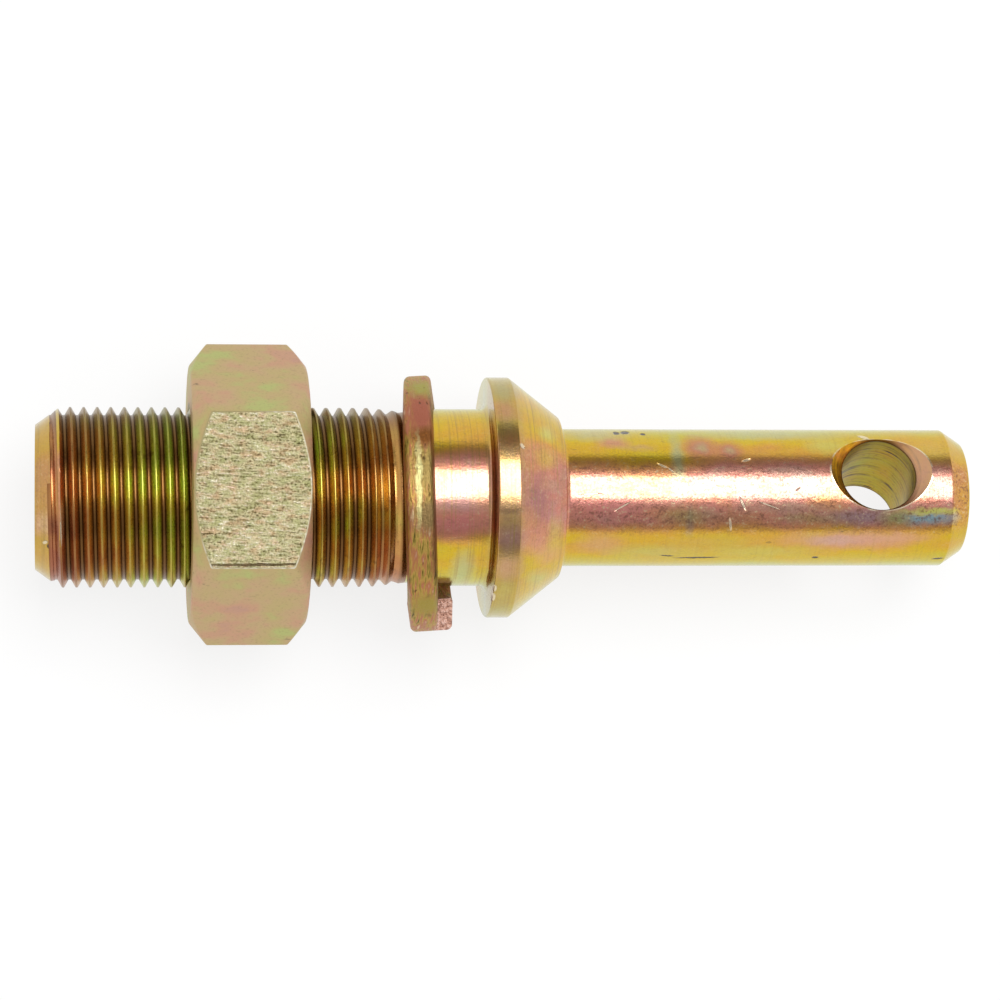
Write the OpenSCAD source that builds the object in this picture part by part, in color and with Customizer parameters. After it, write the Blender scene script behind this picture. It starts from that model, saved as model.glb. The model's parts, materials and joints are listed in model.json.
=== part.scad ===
// Lower link pin for a three-point linkage, with its hex nut and its split spring washer.
// The pin is one piece of turned steel: a threaded shank, a plain neck, a conical collar and
// the link journal, cross drilled for a linch pin. The nut and the washer are loose on it.
// +X runs along the pin to the free end of the journal, and +Z is up as the pin lies on a
// flat of its nut. The origin is on the pin's axis, in the plane of the collar's back face.

/* [Threaded shank] */
// From the collar's back face to the threaded end
shank_len = 71; // [60:0.5:120]
// Diameter over the thread's crests
thread_d = 28.4; // [27.8:0.1:30]
// Threads to the inch
threads_per_inch = 12; // [11:1:14]
// Depth of the thread
thread_depth = 1.27; // [0.9:0.01:1.35]
// Flat along each crest
crest_flat = 0.26; // [0.1:0.01:0.3]
// Flat along each root
root_flat = 0.38; // [0.1:0.01:0.4]
// Length over which the rolled thread runs out
thread_runout = 5.5; // [4.5:0.1:8]
// Length of bare blank between the run-out and the neck
blank_len = 2.7; // [1:0.1:10]
// Step from the thread's crests down to the bare blank
blank_step = 0.65; // [0.4:0.05:0.9]
// Length of the chamfer at the threaded end
shank_chamfer = 3.85; // [2:0.05:6]
// Depth of the chamfer at the threaded end
shank_chamfer_depth = 2.8; // [1.5:0.1:5]

/* [Neck] */
// Diameter of the plain neck that locates the implement plate
neck_d = 28.15; // [27.7:0.05:28.3]
// Length of the neck behind the collar
neck_len = 10.3; // [9:0.1:10.6]
// Fillet where the neck meets the collar
neck_fillet = 1.05; // [0.3:0.05:1.2]

/* [Collar] */
// Outer diameter of the collar
collar_d = 38.25; // [34:0.05:40.8]
// Width of the collar's cylindrical rim
rim_w = 3.5; // [2:0.1:8]
// Length of the cone in front of the rim
cone_len = 8.05; // [5:0.05:14]
// Height of the cone's front face over the journal
shoulder_h = 1.9; // [1:0.05:4]
// Edge break around the back of the rim
rim_break = 0.25; // [0.1:0.05:0.5]

/* [Link journal] */
// Diameter of the journal, the 22 mm size of the smallest tractors
journal_d = 21.9; // [20:0.05:22.2]
// From the collar's front face to the free end
journal_len = 65.35; // [50:0.05:110]
// Fillet where the journal meets the collar
journal_fillet = 0.8; // [0.3:0.05:1]
// Length of the chamfer at the free end
tip_chamfer = 3.15; // [1:0.05:4]
// Depth of the chamfer at the free end
tip_chamfer_depth = 2.1; // [0.5:0.05:4]

/* [Linch pin hole] */
// Diameter of the cross hole
hole_d = 12; // [8:0.1:12.5]
// From the free end to the middle of the hole
hole_inset = 14.6; // [13:0.1:20]
// Turn of the hole about the pin's axis, from straight up
hole_turn = 22; // [0:1:45]
// Diameter of the countersink at the mouths of the hole
mouth_d = 16.25; // [13:0.05:17]

/* [Hex nut] */
// Size across the flats
nut_af = 41.3; // [39.5:0.1:44]
// Thickness of the nut
nut_w = 18.3; // [14:0.1:21]
// From the collar's back face to the nut's nearer face
nut_offset = 28.7; // [24:0.1:32]
// How far the flat circle on each face lies inside the flats
nut_face_inset = 0.35; // [0.1:0.05:3]
// Angle of the corner chamfers, from the face
nut_chamfer = 38.5; // [20:0.5:45]
// How far the forged hexagon lies off the tapped bore
nut_eccentric = 0.45; // [0:0.05:0.6]
// Width of the countersink around each end of the bore
nut_mouth = 0.74; // [0.2:0.02:2]
// Radial running clearance over the crests
nut_clearance = 0.06; // [0.02:0.01:0.1]

/* [Spring washer] */
// Radial play of its bore over the shank
washer_play = 1.1; // [0.6:0.05:1.6]
// Radial width of its section
washer_w = 5; // [3.5:0.1:8]
// Thickness of the section at its outer edge
washer_t = 4.1; // [3:0.1:4.2]
// Extra thickness at its inner edge, left by the coiling
washer_swell = 0.8; // [0:0.1:0.8]
// Corner breaks along the section
washer_break = 0.45; // [0.1:0.05:0.8]
// Axial step between the two cut ends
washer_lead = 2.45; // [1:0.05:2.5]
// Width of the split, along the rim
washer_split = 2; // [1:0.1:6]
// From the collar's back face to the middle of the washer
washer_offset = 9.65; // [9:0.05:9.7]
// Radial gap left where the loose washer hangs on the neck
washer_gap = 0.275; // [0.2:0.025:1]
// Lean of the loose washer about the level axis
washer_lean = 5.8; // [0:0.1:6.5]
// Swing of the loose washer about the upright axis
washer_swing = 3.1; // [0:0.1:4]

/* [Hidden] */

round_fn = 128;
arc_steps = 6;
washer_steps = 90;
through = 2;

pitch = 25.4 / threads_per_inch;
groove_half = (pitch - crest_flat) / 2;
blank_d = thread_d - 2 * blank_step;
shank_face_d = thread_d - 2 * shank_chamfer_depth;
neck_step = abs(neck_d - blank_d) / 2;
// From the collar's back face to the end of the run-out, and to the last full crest
thread_end = neck_len + blank_len;
thread_stop = thread_end + thread_runout;

collar_len = rim_w + cone_len;
cone_front_d = journal_d + 2 * shoulder_h;
pin_end = collar_len + journal_len;
tip_face_d = journal_d - 2 * tip_chamfer_depth;
hole_x = pin_end - hole_inset;
mouth_depth = (mouth_d - hole_d) / 2;

nut_bore_d = thread_d + 2 * nut_clearance;
nut_face_d = nut_af - 2 * nut_face_inset;
washer_bore_d = max(thread_d, neck_d) + 2 * washer_play;
washer_d = washer_bore_d + 2 * washer_w;
washer_drop = (washer_bore_d - neck_d) / 2 - washer_gap;

// Radius of the shank's outside at x, before the thread is rolled in
function shank_r(x) = lookup(x, [
    [-shank_len, shank_face_d / 2],
    [-shank_len + shank_chamfer, thread_d / 2],
    [-thread_stop, thread_d / 2],
    [-thread_end, blank_d / 2]
]);

// Radius at the bottom of the groove at x, which fades out along the run-out
function root_r(x) = lookup(x, [
    [-thread_stop, thread_d / 2 - thread_depth],
    [-thread_end, blank_d / 2]
]);

// One thread groove centred at x, as [radius, x] points
function groove(x) =
    let (bottom = min(root_r(x), shank_r(x - groove_half)))
    [
        [shank_r(x - groove_half), x - groove_half],
        [bottom, x - root_flat / 2],
        [bottom, x + root_flat / 2],
        [shank_r(x + groove_half), x + groove_half]
    ];

// Points of an arc about [radius, x], from angle a0 to angle a1
function arc(centre, r, a0, a1) = [
    for (i = [0 : arc_steps])
        let (a = a0 + (a1 - a0) * i / arc_steps)
        centre + r * [cos(a), sin(a)]
];

groove_first = -thread_stop - pitch / 2;
groove_last = -thread_end - groove_half;
groove_count = floor((groove_first + shank_len - groove_half) / pitch);

// Half section of the pin, from the threaded end to the free end
pin_outline = concat(
    [[0, -shank_len], [shank_face_d / 2, -shank_len]],
    [
        for (x = [groove_first - groove_count * pitch : pitch : groove_last])
            each groove(x)
    ],
    [
        [blank_d / 2, -thread_end],
        [blank_d / 2, -neck_len - neck_step],
        [neck_d / 2, -neck_len]
    ],
    arc([neck_d / 2 + neck_fillet, -neck_fillet], neck_fillet, 180, 90),
    [
        [collar_d / 2 - rim_break, 0],
        [collar_d / 2, rim_break],
        [collar_d / 2, rim_w],
        [cone_front_d / 2, collar_len]
    ],
    arc([journal_d / 2 + journal_fillet, collar_len + journal_fillet], journal_fillet, 270, 180),
    [
        [journal_d / 2, pin_end - tip_chamfer],
        [tip_face_d / 2, pin_end],
        [0, pin_end]
    ]
);

// Lays a shape drawn about Z along +X
module along_x() {
    rotate([0, 90, 0]) children();
}

// Countersink at one mouth of the linch pin hole
module hole_mouth() {
    translate([0, 0, journal_d / 2 - mouth_depth])
        cylinder(d1 = hole_d, d2 = mouth_d + 2 * through, h = mouth_depth + through, $fn = round_fn);
}

module link_pin() {
    color([0.80, 0.68, 0.32])
    difference() {
        along_x() rotate_extrude($fn = round_fn) polygon(pin_outline);
        translate([hole_x, 0, 0]) rotate([-hole_turn, 0, 0]) {
            cylinder(d = hole_d, h = journal_d + 2 * through, center = true, $fn = round_fn);
            hole_mouth();
            mirror([0, 0, 1]) hole_mouth();
        }
    }
}

// Countersink at one end of the nut's bore
module bore_mouth() {
    mouth_d1 = nut_bore_d + 2 * (nut_mouth + through);
    translate([0, 0, -through])
        cylinder(d1 = mouth_d1, d2 = nut_bore_d, h = nut_mouth + through, $fn = round_fn);
}

module hex_nut() {
    corner_d = nut_af / cos(30);
    chamfer_len = (corner_d - nut_face_d) / 2 * tan(nut_chamfer);
    nut_outline = [
        [0, 0],
        [nut_face_d / 2, 0],
        [corner_d / 2, chamfer_len],
        [corner_d / 2 + through, chamfer_len],
        [corner_d / 2 + through, nut_w - chamfer_len],
        [corner_d / 2, nut_w - chamfer_len],
        [nut_face_d / 2, nut_w],
        [0, nut_w]
    ];
    color([0.78, 0.69, 0.45])
    translate([-nut_offset - nut_w, 0, 0])
    difference() {
        translate([0, nut_eccentric, 0]) along_x() intersection() {
            rotate(30) cylinder(d = corner_d, h = nut_w, $fn = 6);
            rotate_extrude($fn = round_fn) polygon(nut_outline);
        }
        along_x() translate([0, 0, -through])
            cylinder(d = nut_bore_d, h = nut_w + 2 * through, $fn = round_fn);
        along_x() bore_mouth();
        translate([nut_w, 0, 0]) mirror([1, 0, 0]) along_x() bore_mouth();
    }
}

// The washer's section as [radius, x] points, thicker at the inner edge
washer_r = washer_d / 2;
washer_bore_r = washer_bore_d / 2;
washer_inner_t = washer_t + washer_swell;
washer_section = [
    [washer_bore_r + washer_break, -washer_inner_t / 2],
    [washer_r - washer_break, -washer_t / 2],
    [washer_r, -washer_t / 2 + washer_break],
    [washer_r, washer_t / 2 - washer_break],
    [washer_r - washer_break, washer_t / 2],
    [washer_bore_r + washer_break, washer_inner_t / 2],
    [washer_bore_r, washer_inner_t / 2 - washer_break],
    [washer_bore_r, -washer_inner_t / 2 + washer_break]
];

module spring_washer() {
    sides = len(washer_section);
    split_angle = washer_split / (PI * washer_d) * 360;
    // The coil climbs along +X from the near cut end at -Y, over +Z and +Y, to the far end
    points = [
        for (i = [0 : washer_steps])
            let (turn = split_angle / 2 + (360 - split_angle) * i / washer_steps)
            for (p = washer_section)
                [p.y + washer_lead * (turn / 360 - 0.5), -p.x * cos(turn), p.x * sin(turn)]
    ];
    walls = [
        for (i = [0 : washer_steps - 1], k = [0 : sides - 1])
            let (a = i * sides + k, b = i * sides + (k + 1) % sides)
            [a, b, b + sides, a + sides]
    ];
    near_end = [for (k = [0 : sides - 1]) sides - 1 - k];
    far_end = [for (k = [0 : sides - 1]) washer_steps * sides + k];
    color([0.76, 0.63, 0.30])
    translate([-washer_offset, -washer_drop, 0])
    rotate([0, -washer_lean, washer_swing])
        polyhedron(points, concat(walls, [near_end, far_end]));
}

link_pin();
hex_nut();
spring_washer();
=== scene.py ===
import json
import math

import bmesh
import bpy
from mathutils import Matrix, Vector, noise


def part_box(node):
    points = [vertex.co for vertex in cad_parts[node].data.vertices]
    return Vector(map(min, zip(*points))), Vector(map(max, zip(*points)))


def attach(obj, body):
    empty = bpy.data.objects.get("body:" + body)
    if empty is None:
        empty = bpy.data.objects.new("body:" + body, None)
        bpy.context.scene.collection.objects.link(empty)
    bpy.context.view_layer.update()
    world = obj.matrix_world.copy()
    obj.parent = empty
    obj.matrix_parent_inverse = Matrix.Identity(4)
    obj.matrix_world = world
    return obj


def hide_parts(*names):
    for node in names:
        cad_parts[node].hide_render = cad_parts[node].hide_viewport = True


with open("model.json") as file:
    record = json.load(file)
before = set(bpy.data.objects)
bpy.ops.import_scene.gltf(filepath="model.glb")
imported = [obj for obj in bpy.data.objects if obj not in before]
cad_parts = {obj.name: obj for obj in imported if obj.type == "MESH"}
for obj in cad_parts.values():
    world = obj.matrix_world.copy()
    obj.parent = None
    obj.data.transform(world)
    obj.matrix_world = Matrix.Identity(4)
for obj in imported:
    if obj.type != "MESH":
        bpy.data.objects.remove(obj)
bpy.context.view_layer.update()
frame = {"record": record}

mounts = {m["name"]: m for m in frame["record"]["mounts"]}
MM = 0.001

# Link pin. One bar of medium carbon steel, turned on a lathe: a threaded shank, a plain neck,
# a conical collar with a narrow rim, and the journal that carries the lower link's ball. The
# thread is rolled into the blank, and the cross hole for the linch pin is drilled last.
shank_len = 71
crest_r = 14.2
thread_pitch = 25.4 / 12
thread_depth = 1.27
crest_flat = 0.26
root_flat = 0.38
corner_ease = 0.045
thread_stop = 18.5
thread_end = 13.0
blank_r = 13.55
shank_face_r = 11.4
shank_chamfer = 3.85
neck_r = 14.075
neck_len = 10.3
collar_r = 19.125
rim_w = 3.5
collar_len = 11.55
cone_front_r = 12.85
journal_r = mounts["journal"]["dims"]["r_mm"]
pin_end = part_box("link_pin")[1].x / MM
tip_chamfer = 3.15
tip_face_r = 8.85
hole_mount = mounts["linch_pin_hole"]
hole_r = hole_mount["dims"]["r_mm"]
hole_x = hole_mount["pos_m"][0] / MM
hole_clear = 9.3
turn_steps = 144


def rounded(corners, segments=4, support=0.2):
    """Points of an open outline given as (x, radius of turning, radius of the corner).

    A long stretch gets a point close to each end, so that smooth shading stays true along it.
    """
    points = [Vector(corners[0][:2])]
    for before, corner, after in zip(corners, corners[1:], corners[2:]):
        at = Vector(corner[:2])
        if corner[2] == 0:
            points.append(at)
            continue
        back = (Vector(before[:2]) - at).normalized()
        ahead = (Vector(after[:2]) - at).normalized()
        half = back.angle(ahead) / 2
        centre = at + (back + ahead).normalized() * corner[2] / math.sin(half)
        first = at + back * corner[2] / math.tan(half) - centre
        last = at + ahead * corner[2] / math.tan(half) - centre
        for i in range(segments + 1):
            points.append(centre + first.lerp(last, i / segments).normalized() * corner[2])
    points.append(Vector(corners[-1][:2]))
    held = points[:1]
    for start, end in zip(points, points[1:]):
        if (end - start).length > 3 * support:
            step = (end - start).normalized() * support
            held += [start + step, end - step]
        held.append(end)
    return held


def turn(bm, outline, lead=0.0):
    """Spins an outline once about X. With a lead it climbs that far along X in the turn."""
    verts = [bm.verts.new((p[0], 0, p[1])) for p in outline]
    edges = [bm.edges.new(pair) for pair in zip(verts, verts[1:])]
    bmesh.ops.spin(bm, geom=verts + edges, cent=(0, 0, 0), axis=(1, 0, 0), angle=2 * math.pi,
                   dvec=(lead / turn_steps, 0, 0), steps=turn_steps, use_merge=lead == 0)


def thread_outline(first, last, radius, depth):
    """One run of V grooves along X, its crests at radius, from one crest to another."""
    run = (thread_pitch - crest_flat - root_flat) / 2
    slope = depth / run
    half = [(crest_flat / 2 - corner_ease, 0)]
    for along in (corner_ease / 2, 0.08, run - 0.08, run - corner_ease / 2):
        half.append((crest_flat / 2 + along, along * slope))
    half.append((thread_pitch / 2 - root_flat / 2 + corner_ease, depth))
    outline = []
    for i in range(round((last - first) / thread_pitch) + 1):
        crest = first + i * thread_pitch
        outline += [(crest - x, radius - d) for x, d in reversed(half)]
        outline += [(crest + x, radius - d) for x, d in half]
    return outline


def between(x, x0, x1, y0, y1):
    """The value at x on a straight line from (x0, y0) to (x1, y1), held level past its ends."""
    share = min(max((x - x0) / (x1 - x0), 0), 1)
    return y0 + (y1 - y0) * share


def new_piece(name, bm):
    """Turns a bmesh drawn in millimetres into an object in metres."""
    bmesh.ops.scale(bm, vec=(MM, MM, MM), verts=bm.verts)
    mesh = bpy.data.meshes.new(name)
    bm.to_mesh(mesh)
    bm.free()
    piece = bpy.data.objects.new(name, mesh)
    bpy.context.scene.collection.objects.link(piece)
    return piece


def shade(bm, sharp_deg):
    """Smooth faces, with every edge sharper than sharp_deg kept crisp."""
    for face in bm.faces:
        face.smooth = True
    for edge in bm.edges:
        edge.smooth = edge.calc_face_angle(0) < math.radians(sharp_deg)


bm = bmesh.new()
crest_count = 26
first_crest = -thread_stop - crest_count * thread_pitch
turn(bm, thread_outline(first_crest, -thread_end + thread_pitch, crest_r, thread_depth), thread_pitch)
for v in bm.verts:
    depth = (crest_r - math.hypot(v.co.y, v.co.z)) / thread_depth
    x = min(max(v.co.x, -shank_len), -thread_end)
    top = between(x, -thread_stop, -thread_end, crest_r, blank_r)
    root = between(x, -thread_stop, -thread_end, crest_r - thread_depth, blank_r)
    chamfer = between(x, -shank_len, -shank_len + shank_chamfer, shank_face_r, crest_r)
    r = min(top + (root - top) * depth, chamfer)
    side = Vector((0, v.co.y, v.co.z)).normalized() * r
    v.co = (x, side.y, side.z)
turn(bm, rounded([
    (-thread_end, blank_r, 0),
    (-neck_len - (neck_r - blank_r), blank_r, 0.3),
    (-neck_len, neck_r, 0.3),
    (0, neck_r, 1.05),
    (0, collar_r, 0.3),
    (rim_w, collar_r, 0.3),
    (collar_len, cone_front_r, 0.35),
    (collar_len, journal_r, 0.8),
    *[(hole_x + i * 0.7, journal_r, 0) for i in range(-13, 14)],
    (pin_end - tip_chamfer, journal_r, 0.35),
    (pin_end, tip_face_r, 0.3),
    (pin_end, tip_face_r - 1, 0),
]))
bmesh.ops.remove_doubles(bm, verts=bm.verts, dist=0.0005)
bmesh.ops.holes_fill(bm, edges=[e for e in bm.edges if e.is_boundary], sides=0)
bmesh.ops.recalc_face_normals(bm, faces=bm.faces)
shade(bm, 38)
link_pin = new_piece("turned_pin", bm)

# The drill and its countersink, which only cut the hole and are then thrown away.
hole_turn = math.atan2(hole_mount["axis"][1], hole_mount["axis"][2])
mouth_start = hole_mount["dims"]["length_mm"] / 2
reach = journal_r + 2

bm = bmesh.new()
turn(bm, rounded([
    (-reach, 1, 0),
    (-reach, hole_r + reach - mouth_start, 0),
    (-mouth_start, hole_r, 0.25),
    (mouth_start, hole_r, 0.25),
    (reach, hole_r + reach - mouth_start, 0),
    (reach, 1, 0),
]))
bmesh.ops.holes_fill(bm, edges=[e for e in bm.edges if e.is_boundary], sides=0)
bmesh.ops.recalc_face_normals(bm, faces=bm.faces)
upright = Matrix.Rotation(-hole_turn, 4, "X") @ Matrix.Rotation(math.radians(-90), 4, "Y")
bmesh.ops.transform(bm, matrix=Matrix.Translation((hole_x, 0, 0)) @ upright, verts=bm.verts)
shade(bm, 38)
drill = new_piece("drill", bm)

cut = link_pin.modifiers.new("cross_hole", "BOOLEAN")
cut.object = drill
cut.solver = "MANIFOLD"
drilled = bpy.data.meshes.new_from_object(link_pin.evaluated_get(bpy.context.evaluated_depsgraph_get()))
link_pin.modifiers.clear()
link_pin.data = drilled
drilled.materials.clear()
bm = bmesh.new()
bm.from_mesh(drilled)
shade(bm, 34)
bm.to_mesh(drilled)
bm.free()
bpy.data.objects.remove(drill)


def in_hole(face):
    """True for a face of the drilled hole or of its countersinks."""
    middle = face.center / MM
    return abs(middle.x - hole_x) < hole_clear and math.hypot(middle.y, middle.z) < journal_r - 0.02


# Yellow zinc on turned steel. The bright zinc is dipped in chromate, which leaves a film a few
# hundred nanometres thick: the eye sees pale green, yellow, orange and rose in patches, one
# into the next, as the film thickens. The lathe's fine rings show in the highlights.


def linear(colour):
    """A colour written as sRGB hex, turned to linear values for a node."""
    parts = [int(colour[i:i + 2], 16) / 255 for i in (1, 3, 5)]
    return tuple(p / 12.92 if p <= 0.04045 else ((p + 0.055) / 1.055) ** 2.4 for p in parts) + (1,)


def add(tree, kind, inputs=None, **settings):
    """Adds a node with its settings, and sets or links its inputs."""
    node = tree.nodes.new(kind)
    for name, value in settings.items():
        setattr(node, name, value)
    for name, value in (inputs or {}).items():
        if isinstance(value, bpy.types.NodeSocket):
            tree.links.new(value, node.inputs[name])
        else:
            node.inputs[name].default_value = value
    return node


def sum_of(tree, *terms):
    """Adds up sockets, each given with the share that it has."""
    total = 0.0
    for socket, share in terms:
        total = add(tree, "ShaderNodeMath", {0: socket, 1: share, 2: total},
                    operation="MULTIPLY_ADD").outputs[0]
    return total


def grain(tree, coords, size_mm, detail=2.0, stretch=(1, 1, 1), offset=(0, 0, 0)):
    """Noise about zero in millimetre-sized lumps, longer along an axis whose stretch is larger."""
    scale = tuple(1 / (size_mm * MM * s) for s in stretch)
    mapped = add(tree, "ShaderNodeMapping", {"Vector": coords, "Scale": scale, "Location": offset})
    lumps = add(tree, "ShaderNodeTexNoise", {"Vector": mapped.outputs[0], "Scale": 1.0, "Detail": detail})
    return add(tree, "ShaderNodeMath", {0: lumps.outputs[0], 1: 0.5}, operation="SUBTRACT").outputs[0]


def ramp(tree, value, stops, interpolation="LINEAR"):
    """A colour ramp from (position, hex colour) stops."""
    made = add(tree, "ShaderNodeValToRGB", {0: value})
    made.color_ramp.interpolation = interpolation
    while len(made.color_ramp.elements) < len(stops):
        made.color_ramp.elements.new(1)
    for element, (place, colour) in zip(made.color_ramp.elements, stops):
        element.position = place
        element.color = linear(colour)
    return made.outputs[0]


def spread(tree, value, low, high, to_low=0.0, to_high=1.0):
    """Maps low..high to to_low..to_high, held level past the ends."""
    return add(tree, "ShaderNodeMapRange", {0: value, 1: low, 2: high, 3: to_low, 4: to_high}).outputs[0]


def blend_colours(tree, share, first, second, mode="MIX"):
    """Mixes two colours by share."""
    mixed = add(tree, "ShaderNodeMix", {0: share, 6: first, 7: second}, data_type="RGBA", blend_type=mode)
    return mixed.outputs[2]


def reach_at(x):
    """The radius that the pin is turned to at x, in mm."""
    if x > collar_len:
        return journal_r
    if x > 0:
        return between(x, rim_w, collar_len, collar_r, cone_front_r)
    if x > -thread_end:
        return neck_r
    return between(x, -shank_len, -shank_len + shank_chamfer, shank_face_r, crest_r)


def mark(tree, coords, x, y, reach, half_x, half_y, tilt=0, soft=0.25):
    """1 inside an oval on the near side of a cylinder of radius reach, 0 outside. All in mm."""
    z = math.sqrt(max(reach * reach - y * y, 1))
    oval = add(tree, "ShaderNodeMapping", {
        "Vector": coords, "Location": (x * MM, y * MM, z * MM), "Rotation": (0, 0, math.radians(tilt)),
        "Scale": (half_x * MM, half_y * MM, half_y * (1.5 + 1.2 * abs(y) / z) * MM)}, vector_type="TEXTURE")
    out = add(tree, "ShaderNodeVectorMath", {0: oval.outputs[0]}, operation="LENGTH")
    return spread(tree, out.outputs["Value"], 1 + soft, 1 - soft)


def warped(tree, coords, size_mm, push_mm):
    """The coordinates, pushed about by noise, so that marks get a ragged outline."""
    scale = 1 / (size_mm * MM)
    lumps = add(tree, "ShaderNodeTexNoise", {"Vector": coords, "Scale": scale, "Detail": 3.0})
    centred = add(tree, "ShaderNodeVectorMath", {0: lumps.outputs["Color"], 1: (0.5, 0.5, 0.5)},
                  operation="SUBTRACT")
    moved = add(tree, "ShaderNodeVectorMath", {0: centred.outputs[0], 1: (2 * push_mm * MM,) * 3, 2: coords},
                operation="MULTIPLY_ADD")
    return moved.outputs[0]


film_colours = [
    (0.00, "#B9C6A8"), (0.13, "#BCBE5C"), (0.28, "#C6B826"), (0.46, "#D2AE16"),
    (0.60, "#D6A03A"), (0.72, "#D2905A"), (0.85, "#CC8474"), (1.00, "#B39A8E"),
]


def steel(name, build, **values):
    """A new metal material, whose nodes build adds. Values are those that are the same all over."""
    material = bpy.data.materials.new(name)
    material.use_nodes = True
    tree = material.node_tree
    shader = tree.nodes["Principled BSDF"]
    shader.inputs["Metallic"].default_value = 1.0
    for key, value in values.items():
        shader.inputs[key.replace("_", " ")].default_value = value
    coords = add(tree, "ShaderNodeTexCoord").outputs["Object"]
    for key, socket in build(tree, coords).items():
        tree.links.new(socket, shader.inputs[key])
    return material


def facing(tree, coords):
    """How far a point lies up or down from the pin's side: 0 at the side, 1 at top and bottom.

    The flat ends face neither way, and get a value halfway.
    """
    xyz = add(tree, "ShaderNodeSeparateXYZ", {0: coords})
    side = add(tree, "ShaderNodeCombineXYZ", {1: xyz.outputs[1], 2: xyz.outputs[2]})
    out = add(tree, "ShaderNodeVectorMath", {0: side.outputs[0]}, operation="NORMALIZE")
    upright = add(tree, "ShaderNodeSeparateXYZ", {0: out.outputs[0]}).outputs[2]
    upright = add(tree, "ShaderNodeMath", {0: upright}, operation="ABSOLUTE").outputs[0]
    flat = add(tree, "ShaderNodeMath", {
        0: spread(tree, xyz.outputs[0], (pin_end - 0.25) * MM, (pin_end - 0.15) * MM),
        1: spread(tree, xyz.outputs[0], (0.15 - shank_len) * MM, (0.05 - shank_len) * MM)}, operation="ADD")
    mixed = add(tree, "ShaderNodeMix", {0: flat.outputs[0], 2: upright, 3: 0.55})
    return mixed.outputs[0], xyz.outputs


def from_mouth(tree, coords):
    """How far a point lies outside the hole's countersink, in metres, and its depth in the hole."""
    turned_up = add(tree, "ShaderNodeMapping", {
        "Vector": coords, "Rotation": (hole_turn, 0, 0), "Location": (-hole_x * MM, 0, 0)})
    xyz = add(tree, "ShaderNodeSeparateXYZ", {0: turned_up.outputs[0]}).outputs
    across = add(tree, "ShaderNodeCombineXYZ", {0: xyz[0], 1: xyz[1]})
    away = add(tree, "ShaderNodeVectorMath", {0: across.outputs[0]}, operation="LENGTH").outputs["Value"]
    deep = add(tree, "ShaderNodeMath", {0: xyz[2]}, operation="ABSOLUTE").outputs[0]
    cone = sum_of(tree, (away, 1.0), (deep, -1.0))
    outside = add(tree, "ShaderNodeMath", {0: cone, 1: (hole_r - mouth_start) * MM}, operation="SUBTRACT")
    return outside.outputs[0], deep, turned_up.outputs[0], xyz


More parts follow.
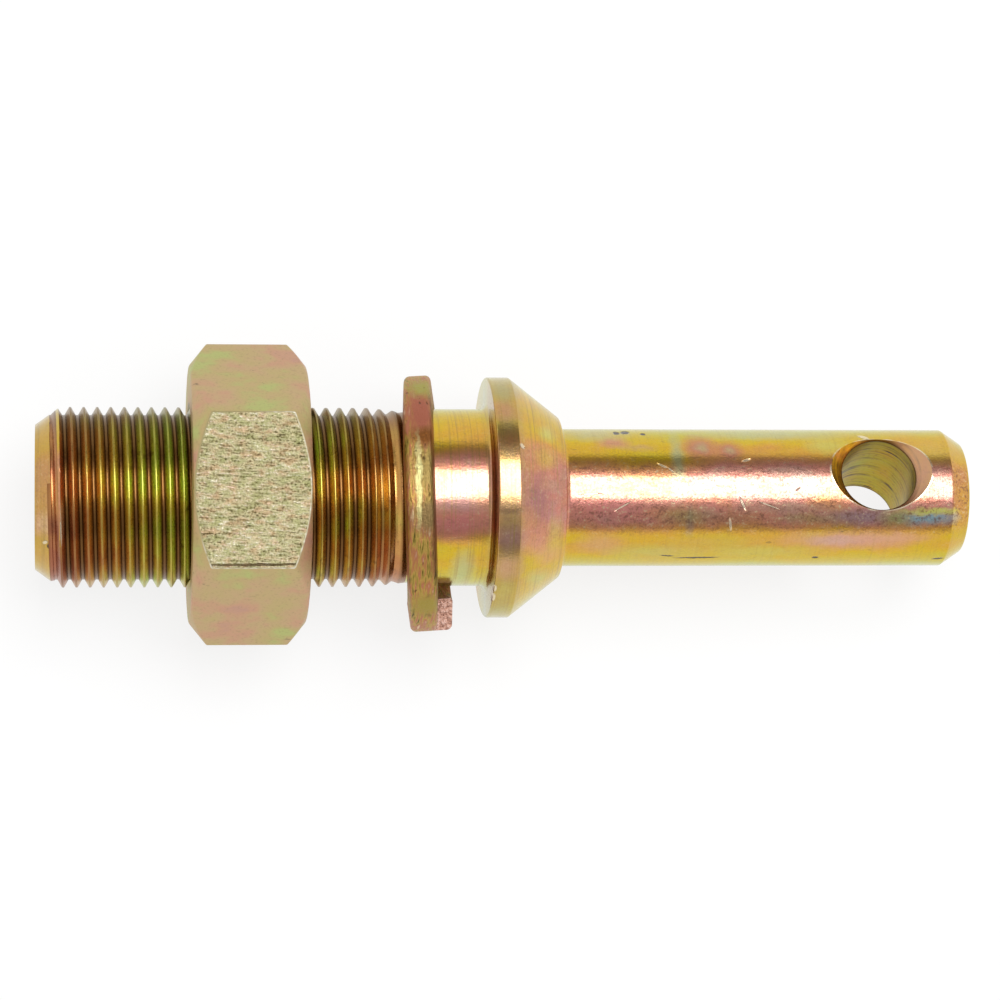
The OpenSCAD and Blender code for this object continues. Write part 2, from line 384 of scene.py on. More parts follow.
def turned_zinc(tree, coords):
    upright, xyz = facing(tree, coords)
    clouds = grain(tree, coords, 13, 3, (1.6, 1, 1))
    blots = grain(tree, coords, 3.6, 3, (1.8, 1, 1), (7, 3, 1))
    # Partly painted sheen: the film's colours are the zinc's own, but their run from greener sides to a golden top and
    # a rose crown, less rose near the tip, stands in for the film's change of colour with the angle of view.
    turned_up = spread(tree, upright, 0.0, 0.7, 0.08, 0.5)
    crown = add(tree, "ShaderNodeMapRange", {0: upright, 1: 0.8, 2: 0.95}, interpolation_type="SMOOTHSTEP")
    near_end = spread(tree, xyz[0], pin_end * MM - 0.0035, pin_end * MM - 0.003, 1.0, 0.4)
    rose_crown_sheen = add(tree, "ShaderNodeMath", {0: crown.outputs[0], 1: near_end}, operation="MULTIPLY").outputs[0]
    film = sum_of(tree, (turned_up, 1.0), (rose_crown_sheen, 0.32), (clouds, 0.55), (blots, 0.35))
    colour = ramp(tree, film, film_colours)
    ragged = warped(tree, coords, 1.5, 0.7)
    stains = [
        (33.4, 7.6, 2.4, 1.8, "#BE7A60", 1.0), (33.6, 7.7, 1.0, 0.7, "#B7A978", 0.7),
        (38.0, 7.1, 1.8, 1.4, "#BE7A60", 1.0), (38.2, 7.2, 0.7, 0.5, "#B7A978", 0.6),
        (19.8, 8.4, 2.2, 0.8, "#C98A74", 0.8), (23.6, 7.6, 2.4, 0.5, "#C4A06A", 0.6),
        (29.6, 5.0, 0.9, 4.6, "#A9B28A", 0.7), (31.4, -4.0, 0.6, 2.0, "#8A7C7C", 0.6),
        (69.6, -3.6, 4.4, 0.9, "#8FB8C4", 0.9), (70.5, -2.5, 4.4, 0.5, "#D6D668", 0.9),
        (58.0, -3.4, 5.0, 1.1, "#94808E", 0.7), (31.0, -3.2, 3.6, 1.2, "#9A9058", 0.6),
        (64.6, -3.6, 2.2, 1.2, "#9CA04E", 0.7), (50.0, -3.6, 4.0, 0.7, "#A89A5C", 0.5),
        (22.0, -1.4, 8.0, 0.8, "#CB8C84", 0.6), (38.0, -3.6, 4.0, 0.8, "#B07A5A", 0.6),
        (36.0, -7.4, 7.0, 1.0, "#C9AE4A", 0.6), (43.0, -8.8, 8.0, 0.8, "#C3BE64", 0.5),
        (57.5, -7.0, 8.5, 1.2, "#D39A86", 0.85),
        (55.0, -7.0, 3.6, 0.6, "#C9AFA6", 0.35), (63.0, -6.6, 6.0, 0.6, "#D6A07E", 0.6),
        (17.4, -7.6, 3.2, 1.3, "#D0A070", 0.6), (26.0, -8.8, 6.0, 1.0, "#BDBC70", 0.5),
        (18.4, -2.2, 5.6, 1.6, "#D27E78", 0.7), (47.0, -2.0, 7.0, 0.8, "#B4907C", 0.6),
        (45.0, 9.8, 9.0, 0.8, "#B7BE9C", 0.5), (17.0, 9.8, 4.0, 1.0, "#B4BC98", 0.5),
        (54.0, 8.0, 3.0, 1.2, "#C8C060", 0.7), (71.0, 7.0, 4.0, 1.8, "#D2B458", 0.6),
        (1.8, 0.0, 2.2, 30.0, "#9C8C62", 0.65), (1.9, 8.5, 1.6, 1.2, "#B8703C", 0.5),
        (1.9, -7.0, 2.2, 1.6, "#B07E80", 0.6), (1.9, -2.6, 2.0, 0.5, "#7A5E44", 0.6),
        (1.4, 13.0, 1.8, 1.4, "#C58A6A", 0.6), (1.6, -11.4, 2.0, 1.8, "#CC9678", 0.6),
        (1.8, 16.4, 2.2, 1.6, "#A9A368", 0.7), (1.6, -15.0, 1.8, 1.4, "#C4B65C", 0.5),
        (-5.6, -4.6, 4.0, 2.0, "#D0787A", 0.7), (-5.6, -1.4, 4.2, 1.3, "#B58C86", 0.7), (-4.4, -11.6, 1.6, 2.6, "#A9BF9A", 0.5),
        (-69.6, 0.0, 2.4, 30.0, "#BE944C", 0.7), (-69.6, -4.6, 1.6, 1.6, "#D8B088", 0.7),
        (6.4, -1.0, 2.0, 3.6, "#9A6A74", 0.6), (5.4, 6.6, 0.8, 1.6, "#D0906A", 0.6),
        (8.5, -9.0, 2.6, 1.6, "#D59A7C", 0.5), (8.6, 9.6, 1.4, 1.2, "#C9CE72", 0.6),
        (7.0, -13.0, 2.0, 1.2, "#BCC46C", 0.6), (6.2, -7.6, 2.2, 1.5, "#CE8E7A", 0.6),
        (8.0, 5.6, 1.8, 1.4, "#D6B83C", 0.6), (9.6, -6.4, 1.2, 2.2, "#CDB84C", 0.6), (8.4, 1.6, 1.6, 1.0, "#CE9A78", 0.5),
        (5.4, 0.3, 2.0, 0.35, "#8E6E5C", 0.45), (5.8, -0.6, 0.9, 0.3, "#8E7458", 0.4),
    ]
    for x, y, half_x, half_y, tint, strength in stains:
        spot = mark(tree, ragged, x, y, reach_at(x), half_x, half_y, soft=0.6)
        spot = add(tree, "ShaderNodeMath", {0: spot, 1: strength}, operation="MULTIPLY").outputs[0]
        colour = blend_colours(tree, spot, colour, linear(tint))
    speckle = grain(tree, coords, 0.34, 2)
    coarse_speckle = grain(tree, coords, 0.8, 2, (1.6, 1, 1), (3, 1, 4))
    rings = grain(tree, coords, 0.3, 2, (1, 60, 60))
    on_collar = spread(tree, xyz[0], 0.0118, 0.0128, 0.65, 0.2)
    ring_tint = add(tree, "ShaderNodeMath", {0: spread(tree, rings, 0.0, 0.26), 1: on_collar},
                    operation="MULTIPLY").outputs[0]
    colour = blend_colours(tree, ring_tint, colour, linear("#A48640"))
    grit = sum_of(tree, (speckle, 1.0), (coarse_speckle, 0.8))
    on_journal = spread(tree, xyz[0], 0.0118, 0.0128, 0.15, 0.6)
    near_crown = add(tree, "ShaderNodeMath", {0: crown.outputs[0], 1: on_journal, 2: 0.1}, operation="MULTIPLY_ADD")
    dust = add(tree, "ShaderNodeMath", {0: spread(tree, grit, 0.02, 0.22), 1: near_crown.outputs[0]},
               operation="MULTIPLY").outputs[0]
    colour = blend_colours(tree, dust, colour, linear("#7E5240"))
    light = add(tree, "ShaderNodeMath", {0: spread(tree, grit, -0.1, -0.3), 1: near_crown.outputs[0]},
                operation="MULTIPLY").outputs[0]
    colour = blend_colours(tree, light, colour, linear("#E2C9A0"))
    dark = spread(tree, grain(tree, coords, 1.3, 4, (2.2, 1, 1), (2, 5, 8)), 0.21, 0.29, 0.0, 0.6)
    colour = blend_colours(tree, dark, colour, linear("#6A5638"))
    nicks = 0.0
    frayed = warped(tree, coords, 0.7, 0.12)
    for x, y, half_x, half_y, tilt in [
        (20.6, 10.1, 0.5, 0.3, 0), (22.0, 10.2, 0.7, 0.3, 5), (24.8, 9.9, 0.4, 0.2, 0),
        (33.4, -9.7, 3.4, 0.1, 1), (28.4, -9.4, 1.2, 0.08, -3), (52.5, -9.7, 0.5, 0.15, 0),
        (72.6, -9.9, 0.9, 0.12, 4), (48.6, 1.0, 0.4, 0.15, 30), (-68.7, -7.9, 0.45, 0.4, 0),
    ]:
        nick = mark(tree, frayed, x, y, reach_at(x), half_x, half_y, tilt)
        nicks = add(tree, "ShaderNodeMath", {0: nick, 1: nicks}, operation="MAXIMUM").outputs[0]
    colour = blend_colours(tree, nicks, colour, linear("#4A3C2C"))
    # Painted highlight: a thin, patchy pale ring on the journal right round the hole's mouth, standing in for the light
    # that the mouth's sharp edge catches.
    outside = from_mouth(tree, coords)[0]
    mouth_highlight = add(tree, "ShaderNodeMath", {
        0: spread(tree, outside, 0.16 * MM, 0.34 * MM, 1.0, 0.0),
        1: spread(tree, grain(tree, coords, 2.5, 3, (1, 1, 1), (1, 1, 7)), -0.12, 0.08, 0.0, 0.85)},
        operation="MULTIPLY").outputs[0]
    colour = blend_colours(tree, mouth_highlight, colour, linear("#EBDCBC"))
    bare = 0.0
    for x, y, half_x, half_y, tilt in [
        (27.1, 4.7, 0.9, 0.16, -25), (28.4, 4.0, 0.7, 0.12, -40), (40.6, 5.6, 0.7, 0.2, 15),
        (39.7, -1.3, 0.2, 1.0, 25), (37.9, -4.6, 0.2, 1.0, 10), (15.5, 0.2, 1.6, 0.1, 3),
        (44.0, -1.6, 1.8, 0.1, -20), (62.6, -0.6, 1.4, 0.12, 35), (20.5, -1.8, 1.6, 0.12, 30),
        (3.9, 7.4, 0.5, 0.3, -50), (0.1, -14.6, 0.3, 0.5, 0), (0.1, -16.0, 0.3, 0.6, 0),
        (-69.4, -7.3, 0.5, 0.25, 20), (-67.9, -4.4, 0.22, 3.0, 0), (60.4, 9.5, 0.9, 0.3, -20),
    ]:
        nick = mark(tree, coords, x, y, reach_at(x), half_x, half_y, tilt)
        bare = add(tree, "ShaderNodeMath", {0: nick, 1: bare}, operation="MAXIMUM").outputs[0]
    colour = blend_colours(tree, spread(tree, bare, 0, 1, 0, 0.65), colour, linear("#EFE2C4"))
    rough = sum_of(tree, (speckle, 0.2), (clouds, 0.12), (crown.outputs[0], 0.03))
    rough = add(tree, "ShaderNodeMath", {0: rough, 1: 0.2}, operation="ADD").outputs[0]
    height = sum_of(tree, (speckle, 0.8), (coarse_speckle, 0.8), (rings, 1.0), (bare, -6.0), (nicks, -5.0))
    bump = add(tree, "ShaderNodeBump", {"Height": height, "Distance": 0.02 * MM, "Strength": 1.0})
    return {"Base Color": colour, "Roughness": rough, "Normal": bump.outputs[0]}


def thread_zinc(tree, coords):
    upright, xyz = facing(tree, coords)
    clouds = grain(tree, coords, 7, 3, (1, 1, 1), (4, 4, 4))
    left = spread(tree, xyz[0], -0.071, -0.055, 0.75, 0.0)
    right = spread(tree, xyz[0], -0.034, -0.014, 0.0, 0.5)
    lower = spread(tree, xyz[1], -0.009, 0.005, 0.14, 0.0)
    film = sum_of(tree, (clouds, 0.9), (left, 1.0), (right, 1.0), (lower, 1.0))
    film = add(tree, "ShaderNodeMath", {0: film, 1: 0.15}, operation="ADD").outputs[0]
    flank = ramp(tree, film, [
        (0.05, "#B6CC62"), (0.28, "#C8C65C"), (0.5, "#D0A858"), (0.75, "#BE8450"), (1.0, "#A26448"),
    ])
    crest = ramp(tree, film, [(0.05, "#A8B44C"), (0.35, "#B4A046"), (0.65, "#A47642"), (1.0, "#8C5A38")])
    far_out = add(tree, "ShaderNodeCombineXYZ", {1: xyz[1], 2: xyz[2]})
    radius = add(tree, "ShaderNodeVectorMath", {0: far_out.outputs[0]}, operation="LENGTH").outputs["Value"]
    chamfered = spread(tree, xyz[0], -shank_len * MM, (shank_chamfer - shank_len) * MM, shank_face_r * MM, crest_r * MM)
    run_out = spread(tree, xyz[0], -thread_stop * MM, -thread_end * MM, crest_r * MM, blank_r * MM)
    top = add(tree, "ShaderNodeMath", {0: chamfered, 1: run_out}, operation="MINIMUM").outputs[0]
    depth = add(tree, "ShaderNodeMath", {0: top, 1: radius}, operation="SUBTRACT").outputs[0]
    colour = blend_colours(tree, spread(tree, depth, 0.04 * MM, 0.2 * MM), crest, flank)
    # Painted shade: the roots of the grooves are painted dark brown.
    root = spread(tree, depth, 0.8 * MM, 1.15 * MM)
    colour = blend_colours(tree, root, colour, linear("#6E4C26"))
    # Painted shade: the thread darkens towards its far side.
    far_side_shade = spread(tree, xyz[1], 0.006, 0.013, 0.0, 0.7)
    colour = blend_colours(tree, far_side_shade, colour, linear("#66502A"))
    speckle = grain(tree, coords, 0.3, 2)
    smuts = spread(tree, grain(tree, coords, 0.9, 3, (1, 2, 2), (2, 7, 2)), 0.1, 0.28, 0.0, 0.7)
    colour = blend_colours(tree, smuts, colour, linear("#5A3A22"))
    scrape = spread(tree, mark(tree, coords, -66.8, -4.4, crest_r, 0.3, 3.2), 0.0, 1.0, 0.0, 0.7)
    colour = blend_colours(tree, scrape, colour, linear("#EFE2C4"))
    rough = add(tree, "ShaderNodeMath", {0: speckle, 1: 0.25, 2: 0.3}, operation="MULTIPLY_ADD").outputs[0]
    bump = add(tree, "ShaderNodeBump", {"Height": speckle, "Distance": 0.008 * MM, "Strength": 1.0})
    return {"Base Color": colour, "Roughness": rough, "Normal": bump.outputs[0]}


def drilled_zinc(tree, coords):
    clouds = grain(tree, coords, 4, 3)
    deep, centred, xyz = from_mouth(tree, coords)[1:]
    sunk = spread(tree, deep, (mouth_start - 0.1) * MM, (mouth_start + 0.1) * MM)
    rosy = spread(tree, xyz[0], -6 * MM, 7 * MM, 0.16, 0.34)
    rosy = add(tree, "ShaderNodeMath", {0: sunk, 1: rosy}, operation="MULTIPLY").outputs[0]
    film = sum_of(tree, (clouds, 0.6), (rosy, 1.0))
    film = add(tree, "ShaderNodeMath", {0: film, 1: 0.4}, operation="ADD").outputs[0]
    colour = ramp(tree, film, film_colours)
    rings = grain(tree, centred, 0.7, 2, (40, 40, 1))
    smear = spread(tree, grain(tree, coords, 3, 2), -0.15, 0.2)
    scored = add(tree, "ShaderNodeMath", {0: spread(tree, rings, -0.02, 0.16, 0, 1.3), 1: smear}, operation="MULTIPLY",
                 use_clamp=True)
    colour = blend_colours(tree, scored.outputs[0], colour, linear("#4E3216"))
    grit = spread(tree, grain(tree, coords, 0.5, 3), 0.05, 0.3, 0.0, 0.6)
    colour = blend_colours(tree, grit, colour, linear("#7A5230"))
    edge = spread(tree, deep, (mouth_start - 0.5) * MM, (mouth_start - 0.1) * MM, 0.0, 0.75)
    edge = add(tree, "ShaderNodeMath", {0: edge, 1: spread(tree, deep, (mouth_start + 0.1) * MM,
                                        (mouth_start + 0.4) * MM, 1.0, 0.0)}, operation="MULTIPLY").outputs[0]
    colour = blend_colours(tree, edge, colour, linear("#6A3E1A"))
    # The countersink turns paler towards the pin's tip.
    paler_on_tip_side = add(tree, "ShaderNodeMath", {0: sunk, 1: spread(tree, xyz[0], 2 * MM, 6 * MM, 0.0, 0.55)},
                operation="MULTIPLY").outputs[0]
    colour = blend_colours(tree, paler_on_tip_side, colour, linear("#C6A78E"))
    shaded = add(tree, "ShaderNodeMath", {0: 1.0, 1: sunk}, operation="SUBTRACT").outputs[0]
    colour = blend_colours(tree, shaded, colour, linear("#D2D2BC"), "MULTIPLY")
    bump = add(tree, "ShaderNodeBump", {"Height": rings, "Distance": 0.05 * MM, "Strength": 1.0})
    return {"Base Color": colour, "Normal": bump.outputs[0]}


def grooved(face):
    """True for a face of the thread, and not of the shank's end or its chamfer beside the grooves."""
    middle = face.center / MM
    chamfer = shank_face_r + (middle.x + shank_len) / shank_chamfer * (crest_r - shank_face_r)
    along_thread = 0.05 - shank_len < middle.x < -thread_end
    return along_thread and math.hypot(middle.y, middle.z) < chamfer - 0.06


turned = steel("yellow_zinc_turned_steel", turned_zinc, Coat_Weight=0.24, Coat_IOR=1.9, Coat_Roughness=0.12)
threaded = steel("yellow_zinc_rolled_thread", thread_zinc, Coat_Weight=0.05, Coat_IOR=1.9, Coat_Roughness=0.15)
bored = steel("yellow_zinc_drilled_steel", drilled_zinc, Roughness=0.34)
for material in (turned, threaded, bored):
    link_pin.data.materials.append(material)
for face in link_pin.data.polygons:
    if in_hole(face):
        face.material_index = 2
    elif grooved(face):
        face.material_index = 1
    else:
        face.material_index = 0
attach(link_pin, "pin")
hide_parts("link_pin")

# Hex nut. Forged from steel, chamfered on both faces and tapped with the pin's own fine thread.
# It is loose on the shank, where its own turning would carry it along.
nut_lo, nut_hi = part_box("hex_nut")
nut_af = (nut_hi.z - nut_lo.z) / MM
nut_left = nut_lo.x / MM
nut_right = nut_hi.x / MM
nut_shift = (nut_hi.y + nut_lo.y) / 2 / MM
nut_face_r = 20.3
nut_chamfer_deg = 38.5
nut_mouth_r = 15.0
tap_clearance = 0.07

bm = bmesh.new()
nut_middle = (nut_left + nut_right) / 2
nut_half = (nut_right - nut_left) / 2
tap_first = -thread_stop - 15 * thread_pitch
turn(bm, thread_outline(tap_first, tap_first + 11 * thread_pitch, crest_r + tap_clearance, thread_depth - 0.25),
     thread_pitch)
for v in bm.verts:
    x = min(max(v.co.x, nut_left), nut_right)
    r = max(math.hypot(v.co.y, v.co.z), nut_mouth_r - (nut_half - abs(x - nut_middle)))
    side = Vector((0, v.co.y, v.co.z)).normalized() * r
    v.co = (x, side.y, side.z)
bmesh.ops.remove_doubles(bm, verts=bm.verts, dist=0.0005)
bore_rings = [e for e in bm.edges if e.is_boundary]

outer = bmesh.new()
turn(outer, [(nut_left, nut_mouth_r), (nut_left, nut_face_r), (nut_left, 22), (nut_left + 3, 23),
             (nut_right - 3, 23), (nut_right, 22), (nut_right, nut_face_r), (nut_right, nut_mouth_r)])
for v in outer.verts:
    r = math.hypot(v.co.y, v.co.z)
    if r < nut_mouth_r + 0.1:
        continue
    if r > nut_face_r + 0.1:
        angle = math.atan2(v.co.y, v.co.z)
        sector = (angle + math.radians(30)) % math.radians(60) - math.radians(30)
        flat = nut_af / 2 / math.cos(sector)
        inset = max((flat - nut_face_r) * math.tan(math.radians(nut_chamfer_deg)), 0.05)
        side = 1 if v.co.x > nut_middle else -1
        rim = nut_half - inset if r < 22.5 else nut_half - 4.0
        v.co = (nut_middle + side * rim, flat * math.sin(angle), flat * math.cos(angle))
    v.co.y += nut_shift
outer.normal_update()
part = bpy.data.meshes.new("outer")
outer.to_mesh(part)
outer.free()
bm.from_mesh(part)
bpy.data.meshes.remove(part)
bmesh.ops.remove_doubles(bm, verts=bm.verts, dist=0.002)
bmesh.ops.recalc_face_normals(bm, faces=bm.faces)
corners = [
    e for e in bm.edges
    if e.calc_face_angle(0) > math.radians(25)
    and all(math.hypot(v.co.y, v.co.z) > nut_mouth_r + 2 for v in e.verts)
]
broken = bmesh.ops.bevel(bm, geom=corners, offset=0.24, offset_type="OFFSET", segments=3, profile=0.5,
                         affect="EDGES", clamp_overlap=True, material=-1)
# The broken edges round the near flat take the material with the painted edge highlight.
for face in broken["faces"]:
    if face.calc_center_median().z > nut_af / 2 - 0.22:
        face.material_index = 3
shade(bm, 38)
hex_nut = new_piece("tapped_nut", bm)


def forged_zinc(tree, coords):
    clouds = grain(tree, coords, 8, 3, (1, 1, 1), (1, 2, 9))
    blots = grain(tree, coords, 2.6, 3, (1.3, 1, 1), (3, 2, 2))
    film = sum_of(tree, (clouds, 1.3), (blots, 0.5))
    film = add(tree, "ShaderNodeMath", {0: film, 1: 0.5}, operation="ADD").outputs[0]
    colour = ramp(tree, film, [
        (0.25, "#B9BC78"), (0.42, "#C2AE7A"), (0.56, "#C6AB80"), (0.7, "#CBA182"), (0.9, "#C29888"),
    ])
    speckle = grain(tree, coords, 0.42, 3)
    colour = blend_colours(tree, spread(tree, speckle, 0.04, 0.3, 0.0, 0.5), colour, linear("#9A8460"))
    pits = spread(tree, grain(tree, coords, 1.1, 3, (1.6, 1, 1), (6, 6, 1)), 0.2, 0.28, 0.0, 0.7)
    colour = blend_colours(tree, pits, colour, linear("#7C6E52"))
    bump = add(tree, "ShaderNodeBump", {"Height": speckle, "Distance": 0.03 * MM, "Strength": 1.0})
    return {"Base Color": colour, "Normal": bump.outputs[0]}


def coarse_zinc(tree, coords):
    clouds = grain(tree, coords, 5, 3, (1.5, 1, 1), (1, 2, 9))
    slanted = add(tree, "ShaderNodeMapping", {"Vector": coords, "Rotation": (0, 0, math.radians(5))}).outputs[0]
    streaks = grain(tree, slanted, 0.27, 3, (6, 1, 1), (3, 0, 0))
    grit = grain(tree, coords, 0.35, 2, (1, 1, 1), (0, 8, 0))
    film = sum_of(tree, (clouds, 0.4), (streaks, 1.0), (grit, 0.9))
    film = add(tree, "ShaderNodeMath", {0: film, 1: 0.5}, operation="ADD").outputs[0]
    colour = ramp(tree, film, [
        (0.14, "#584C34"), (0.3, "#928862"), (0.48, "#BFB68E"), (0.66, "#CEC3A2"), (0.84, "#F6EEDA"),
    ])
    tints = ramp(tree, add(tree, "ShaderNodeMath", {0: grain(tree, coords, 1.1, 3, (1.6, 1, 1), (9, 9, 2)), 1: 0.5},
                           operation="ADD").outputs[0], [(0.35, "#B9D08A"), (0.5, "#FFFFFF"), (0.65, "#F0B8A8")])
    colour = blend_colours(tree, 0.42, colour, tints, "MULTIPLY")
    # A dark line is painted along the near flat's lower edge.
    lower_edge_y = nut_shift - nut_af / 2 * 0.553
    lower_edge_line = mark(tree, warped(tree, coords, 2.0, 0.25), nut_middle, lower_edge_y, math.hypot(nut_af / 2, lower_edge_y), 9.0, 0.22)
    colour = blend_colours(tree, spread(tree, lower_edge_line, 0, 1, 0, 0.85), colour, linear("#54422A"))
    height = sum_of(tree, (streaks, 1.0), (grit, 0.7))
    bump = add(tree, "ShaderNodeBump", {"Height": height, "Distance": 0.3 * MM, "Strength": 1.0})
    return {"Base Color": colour, "Normal": bump.outputs[0]}


# Painted highlight: the broken edges round the near flat turn pale cream on their right and lower stretches, standing
# in for the light that runs along those edges.
def edge_highlight_zinc(tree, coords):
    patches = grain(tree, coords, 0.9, 3, (1, 1, 1), (8, 2, 9))
    film = add(tree, "ShaderNodeMath", {0: patches, 1: 1.2, 2: 0.5}, operation="MULTIPLY_ADD").outputs[0]
    bright = ramp(tree, film, [(0.25, "#B7AA80"), (0.5, "#D8CFB0"), (0.75, "#F0EBDC")])
    xyz = add(tree, "ShaderNodeSeparateXYZ", {0: coords}).outputs
    right = spread(tree, xyz[0], nut_middle * MM, (nut_middle + 5) * MM)
    low = spread(tree, xyz[1], -0.006, -0.010, 0.0, 0.8)
    shown = add(tree, "ShaderNodeMath", {0: right, 1: low}, operation="MAXIMUM").outputs[0]
    return {"Base Color": blend_colours(tree, shown, linear("#B3A477"), bright)}


forged = steel("yellow_zinc_forged_steel", forged_zinc, Roughness=0.5)
coarse = steel("yellow_zinc_sheared_steel", coarse_zinc, Roughness=0.55)
edge_highlight = steel("yellow_zinc_edge_painted_highlight", edge_highlight_zinc, Roughness=0.42)
for material in (forged, coarse, threaded, edge_highlight):
    hex_nut.data.materials.append(material)
for face in hex_nut.data.polygons:
    middle = face.center / MM
    if math.hypot(middle.y, middle.z) < nut_mouth_r - 0.05:
        face.material_index = 2
    elif face.normal.z > 0.97 and abs(middle.z) > 20:
        face.material_index = 1
    elif face.material_index != 3:
        face.material_index = 0
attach(hex_nut, "nut")
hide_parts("hex_nut")

# Spring washer. A length of trapezoid spring steel wire, coiled left-handed on a mandrel and
# sheared, so that its two ends stand apart. It hangs loose on the neck, a little askew.
washer_inner_r = 15.3
washer_outer_r = 20.3
washer_t = 4.1
washer_inner_t = 4.9
washer_break = 0.45
washer_lead = 2.45
washer_split = 2.0
washer_offset = 9.65
washer_drop = 0.95
washer_lean_deg = 5.8
washer_swing_deg = 3.1
coil_steps = 240

bm = bmesh.new()
section = [
    (washer_outer_r, 0, 0),
    (washer_outer_r, washer_t / 2, 2 * washer_break),
    (washer_inner_r, washer_inner_t / 2, washer_break),
    (washer_inner_r, -washer_inner_t / 2, washer_break),
    (washer_outer_r, -washer_t / 2, 2 * washer_break),
    (washer_outer_r, 0, 0),
]
split_turn = washer_split / washer_outer_r
start = Matrix.Rotation(-split_turn / 2, 4, "X") @ Matrix.Translation((-washer_lead * (0.5 - split_turn / 4 / math.pi), 0, 0))
loop = [bm.verts.new(start @ Vector((p[1], -p[0], 0))) for p in rounded(section)[:-1]]
ring = [bm.edges.new(pair) for pair in zip(loop, loop[1:] + loop[:1])]
climb = washer_lead * (1 - split_turn / 2 / math.pi) / coil_steps
bmesh.ops.spin(bm, geom=loop + ring, cent=(0, 0, 0), axis=(1, 0, 0), angle=-(2 * math.pi - split_turn),
               dvec=(climb, 0, 0), steps=coil_steps, use_merge=False)
bmesh.ops.holes_fill(bm, edges=[e for e in bm.edges if e.is_boundary], sides=0)
bmesh.ops.recalc_face_normals(bm, faces=bm.faces)
pose = (Matrix.Translation((-washer_offset, -washer_drop, 0))
        @ Matrix.Rotation(math.radians(washer_swing_deg), 4, "Z")
        @ Matrix.Rotation(math.radians(-washer_lean_deg), 4, "Y"))
bmesh.ops.transform(bm, matrix=pose, verts=bm.verts)
shade(bm, 38)
spring_washer = new_piece("coiled_washer", bm)


def coiled_zinc(tree, coords):
    clouds = grain(tree, coords, 6, 3, (1, 1, 1), (5, 2, 3))
    streaks = grain(tree, coords, 0.34, 3, (1, 8, 8), (0, 4, 0))
    film = sum_of(tree, (clouds, 1.3), (streaks, 1.9))
    film = add(tree, "ShaderNodeMath", {0: film, 1: 0.5}, operation="ADD").outputs[0]
    colour = ramp(tree, film, [
        (0.06, "#463820"), (0.22, "#93803C"), (0.42, "#BC9A52"), (0.6, "#B47C50"), (0.78, "#B2745A"), (1.0, "#D8BC94"),
    ])
    ragged = warped(tree, coords, 1.2, 0.6)
    for x, y, half_x, half_y, tint in [
        (-11.6, 12.8, 2.0, 4.4, "#AE6A54"), (-10.5, -15.7, 0.4, 0.4, "#4A3620"), (-10.0, -18.4, 0.4, 0.4, "#4A3620"),
        # Painted shade: the first two patches on the next line darken the rim, one across the softbox highlight and one
        # on the darker band below it.
        (-10.6, -3.4, 3.0, 2.6, "#836C46"), (-10.6, 3.6, 3.0, 3.6, "#96804C"), (-10.8, 9.0, 2.6, 1.4, "#86552C"),
        # Painted highlight: the pale strip that opens the next line brightens the rim's left edge.
        (-12.4, 2.0, 0.4, 6.0, "#CFC68A"), (-9.4, 3.0, 0.8, 6.0, "#6A4828"), (-9.8, -8.0, 0.6, 4.0, "#7E5638"),
        (-11.0, 17.0, 2.0, 1.6, "#A9A052"), (-10.4, -17.0, 2.4, 1.6, "#A69248"),
    ]:
        spot = mark(tree, ragged, x, y, washer_outer_r, half_x, half_y, soft=0.5)
        colour = blend_colours(tree, spot, colour, linear(tint))
    pits = spread(tree, grain(tree, coords, 0.8, 3, (1, 2, 2), (6, 1, 1)), 0.14, 0.24, 0.0, 0.8)
    colour = blend_colours(tree, pits, colour, linear("#5A4028"))
    height = sum_of(tree, (streaks, 1.3), (grain(tree, coords, 0.5, 3), 0.5), (pits, -0.4))
    bump = add(tree, "ShaderNodeBump", {"Height": height, "Distance": 0.2 * MM, "Strength": 1.0})
    return {"Base Color": colour, "Normal": bump.outputs[0]}


def cropped_zinc(tree, coords):
    lumps = grain(tree, coords, 0.45, 3, (1, 1, 1), (5, 2, 3))
    film = add(tree, "ShaderNodeMath", {0: lumps, 1: 1.0, 2: 0.5}, operation="MULTIPLY_ADD").outputs[0]
    colour = ramp(tree, film, [(0.25, "#6E4C40"), (0.45, "#B08878"), (0.7, "#D0B0A4")])
    bump = add(tree, "ShaderNodeBump", {"Height": lumps, "Distance": 0.15 * MM, "Strength": 1.0})
    return {"Base Color": colour, "Normal": bump.outputs[0]}


coiled = steel("yellow_zinc_coiled_steel", coiled_zinc, Roughness=0.5)
cropped = steel("yellow_zinc_cropped_steel", cropped_zinc, Roughness=0.55)
for material in (coiled, cropped):
    spring_washer.data.materials.append(material)
biggest = sorted(spring_washer.data.polygons, key=lambda face: len(face.vertices))[-2:]
for face in biggest:
    face.material_index = 1
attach(spring_washer, "washer")
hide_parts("spring_washer")

# The stand. A white table top, which the pin lies on with one flat of its nut and the edge of
# its washer and collar clear of it, and which keeps a soft shadow.
floor_z = nut_lo.z
bm = bmesh.new()
bmesh.ops.create_grid(bm, x_segments=1, y_segments=1, size=2500)
bmesh.ops.translate(bm, vec=(0, 0, floor_z / MM), verts=bm.verts)
floor = new_piece("table_top", bm)


def seen_or_mirrored(tree):
    """1 for rays from the camera and for those that metal throws back, else 0."""
    path = add(tree, "ShaderNodeLightPath").outputs
    both = add(tree, "ShaderNodeMath", {0: path["Is Camera Ray"], 1: path["Is Glossy Ray"]}, operation="ADD")
    return add(tree, "ShaderNodeMath", {0: both.outputs[0], 1: path["Is Transmission Ray"]},
               operation="ADD", use_clamp=True).outputs[0]


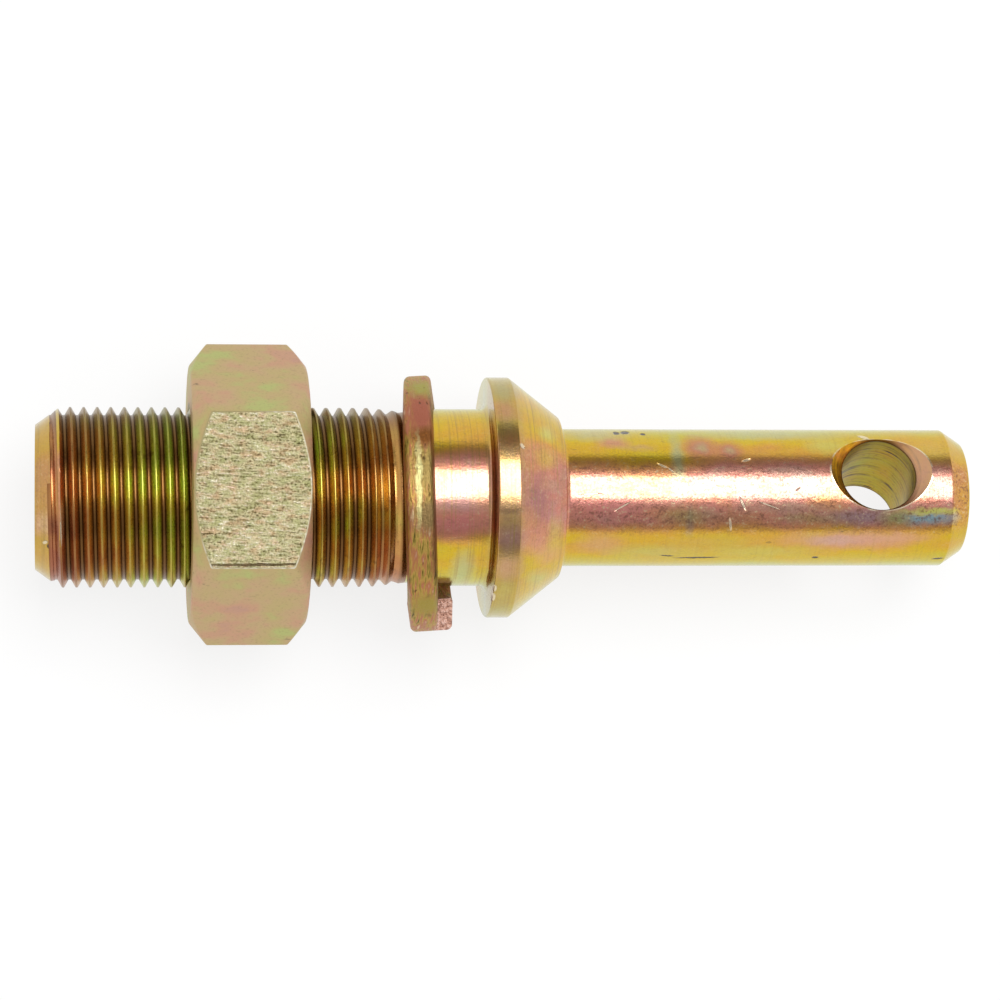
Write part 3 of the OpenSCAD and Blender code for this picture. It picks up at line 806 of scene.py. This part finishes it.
table = bpy.data.materials.new("white_laminate")
table.use_nodes = True
tree = table.node_tree
tree.nodes.clear()
matt = add(tree, "ShaderNodeBsdfDiffuse", {"Color": (0.88, 0.88, 0.88, 1)})
glow = add(tree, "ShaderNodeEmission", {"Color": (1, 1, 1, 1), "Strength": 1.0})
share = add(tree, "ShaderNodeMath", {0: seen_or_mirrored(tree), 1: 0.78}, operation="MULTIPLY")
mixed = add(tree, "ShaderNodeMixShader", {0: share.outputs[0], 1: matt.outputs[0], 2: glow.outputs[0]})
add(tree, "ShaderNodeOutputMaterial", {"Surface": mixed.outputs[0]})
floor.data.materials.append(table)

# Soft studio light: pale walls all round, a darker ceiling on the near side, and one large
# softbox overhead, turned a little to the far side.
world = bpy.data.worlds.new("studio")
bpy.context.scene.world = world
world.use_nodes = True
tree = world.node_tree
tree.nodes.clear()
direction = add(tree, "ShaderNodeSeparateXYZ", {0: add(tree, "ShaderNodeTexCoord").outputs["Generated"]})
around = add(tree, "ShaderNodeMath", {0: direction.outputs[1], 1: direction.outputs[2]}, operation="ARCTAN2")
place = spread(tree, around.outputs[0], -math.pi, math.pi)


def at(degrees):
    """The ramp's position for an angle from straight up toward +Y."""
    return (degrees + 180) / 360


walls = ramp(tree, place, [
    (at(-62), "#FFFFFF"), (at(-56), "#B0B0B0"), (at(-2), "#DADADA"), (at(38), "#DADADA"),
    (at(48), "#B4B4B4"), (at(55), "#949494"), (at(68), "#949494"), (at(77), "#FFFFFF"),
])
sideways = add(tree, "ShaderNodeMath", {0: direction.outputs[0]}, operation="ABSOLUTE")
walls = blend_colours(tree, spread(tree, sideways.outputs[0], 0.55, 0.75), walls, (1, 1, 1, 1))
camera_ray = add(tree, "ShaderNodeLightPath").outputs["Is Camera Ray"]
walls = blend_colours(tree, camera_ray, walls, (1, 1, 1, 1))
background = add(tree, "ShaderNodeBackground", {"Color": walls, "Strength": 1.0})
add(tree, "ShaderNodeOutputWorld", {"Surface": background.outputs[0]})

softbox_angle = math.radians(15.4)
softbox_reach = 0.9
softbox_x = 0.113
lamp = bpy.data.lights.new("softbox", "AREA")
lamp.shape = "RECTANGLE"
lamp.size = 0.5
lamp.size_y = 0.58
lamp.energy = 5.6
softbox = bpy.data.objects.new("softbox", lamp)
softbox.location = (softbox_x, math.sin(softbox_angle) * softbox_reach, math.cos(softbox_angle) * softbox_reach)
softbox.rotation_euler = (-softbox_angle, 0, 0)
bpy.context.scene.collection.objects.link(softbox)

# The camera hangs over the pin, level with the nut and a little to the near side.
camera_place = Vector((-0.0661, -0.019, 0.5613))
yaw = 0.1224 - 2.9 / 3548.7
pitch = math.atan2(0.019, 0.557) - 4.3 / 3548.7
ahead = Vector((math.sin(yaw) * math.cos(pitch), math.sin(pitch), -math.cos(yaw) * math.cos(pitch)))
roll = math.radians(0.2)
level = Vector((math.cos(yaw), 0, math.sin(yaw)))
upward = level.cross(ahead)
right = level * math.cos(roll) - upward * math.sin(roll)
up = upward * math.cos(roll) + level * math.sin(roll)
eye = bpy.data.cameras.new("camera")
eye.sensor_width = 36
eye.lens = 36 * 3.5487
camera = bpy.data.objects.new("camera", eye)
camera.matrix_world = Matrix((
    (right.x, up.x, -ahead.x, camera_place.x),
    (right.y, up.y, -ahead.y, camera_place.y),
    (right.z, up.z, -ahead.z, camera_place.z),
    (0, 0, 0, 1),
))
bpy.context.scene.collection.objects.link(camera)
bpy.context.scene.camera = camera
bpy.context.scene.view_settings.view_transform = "Standard"
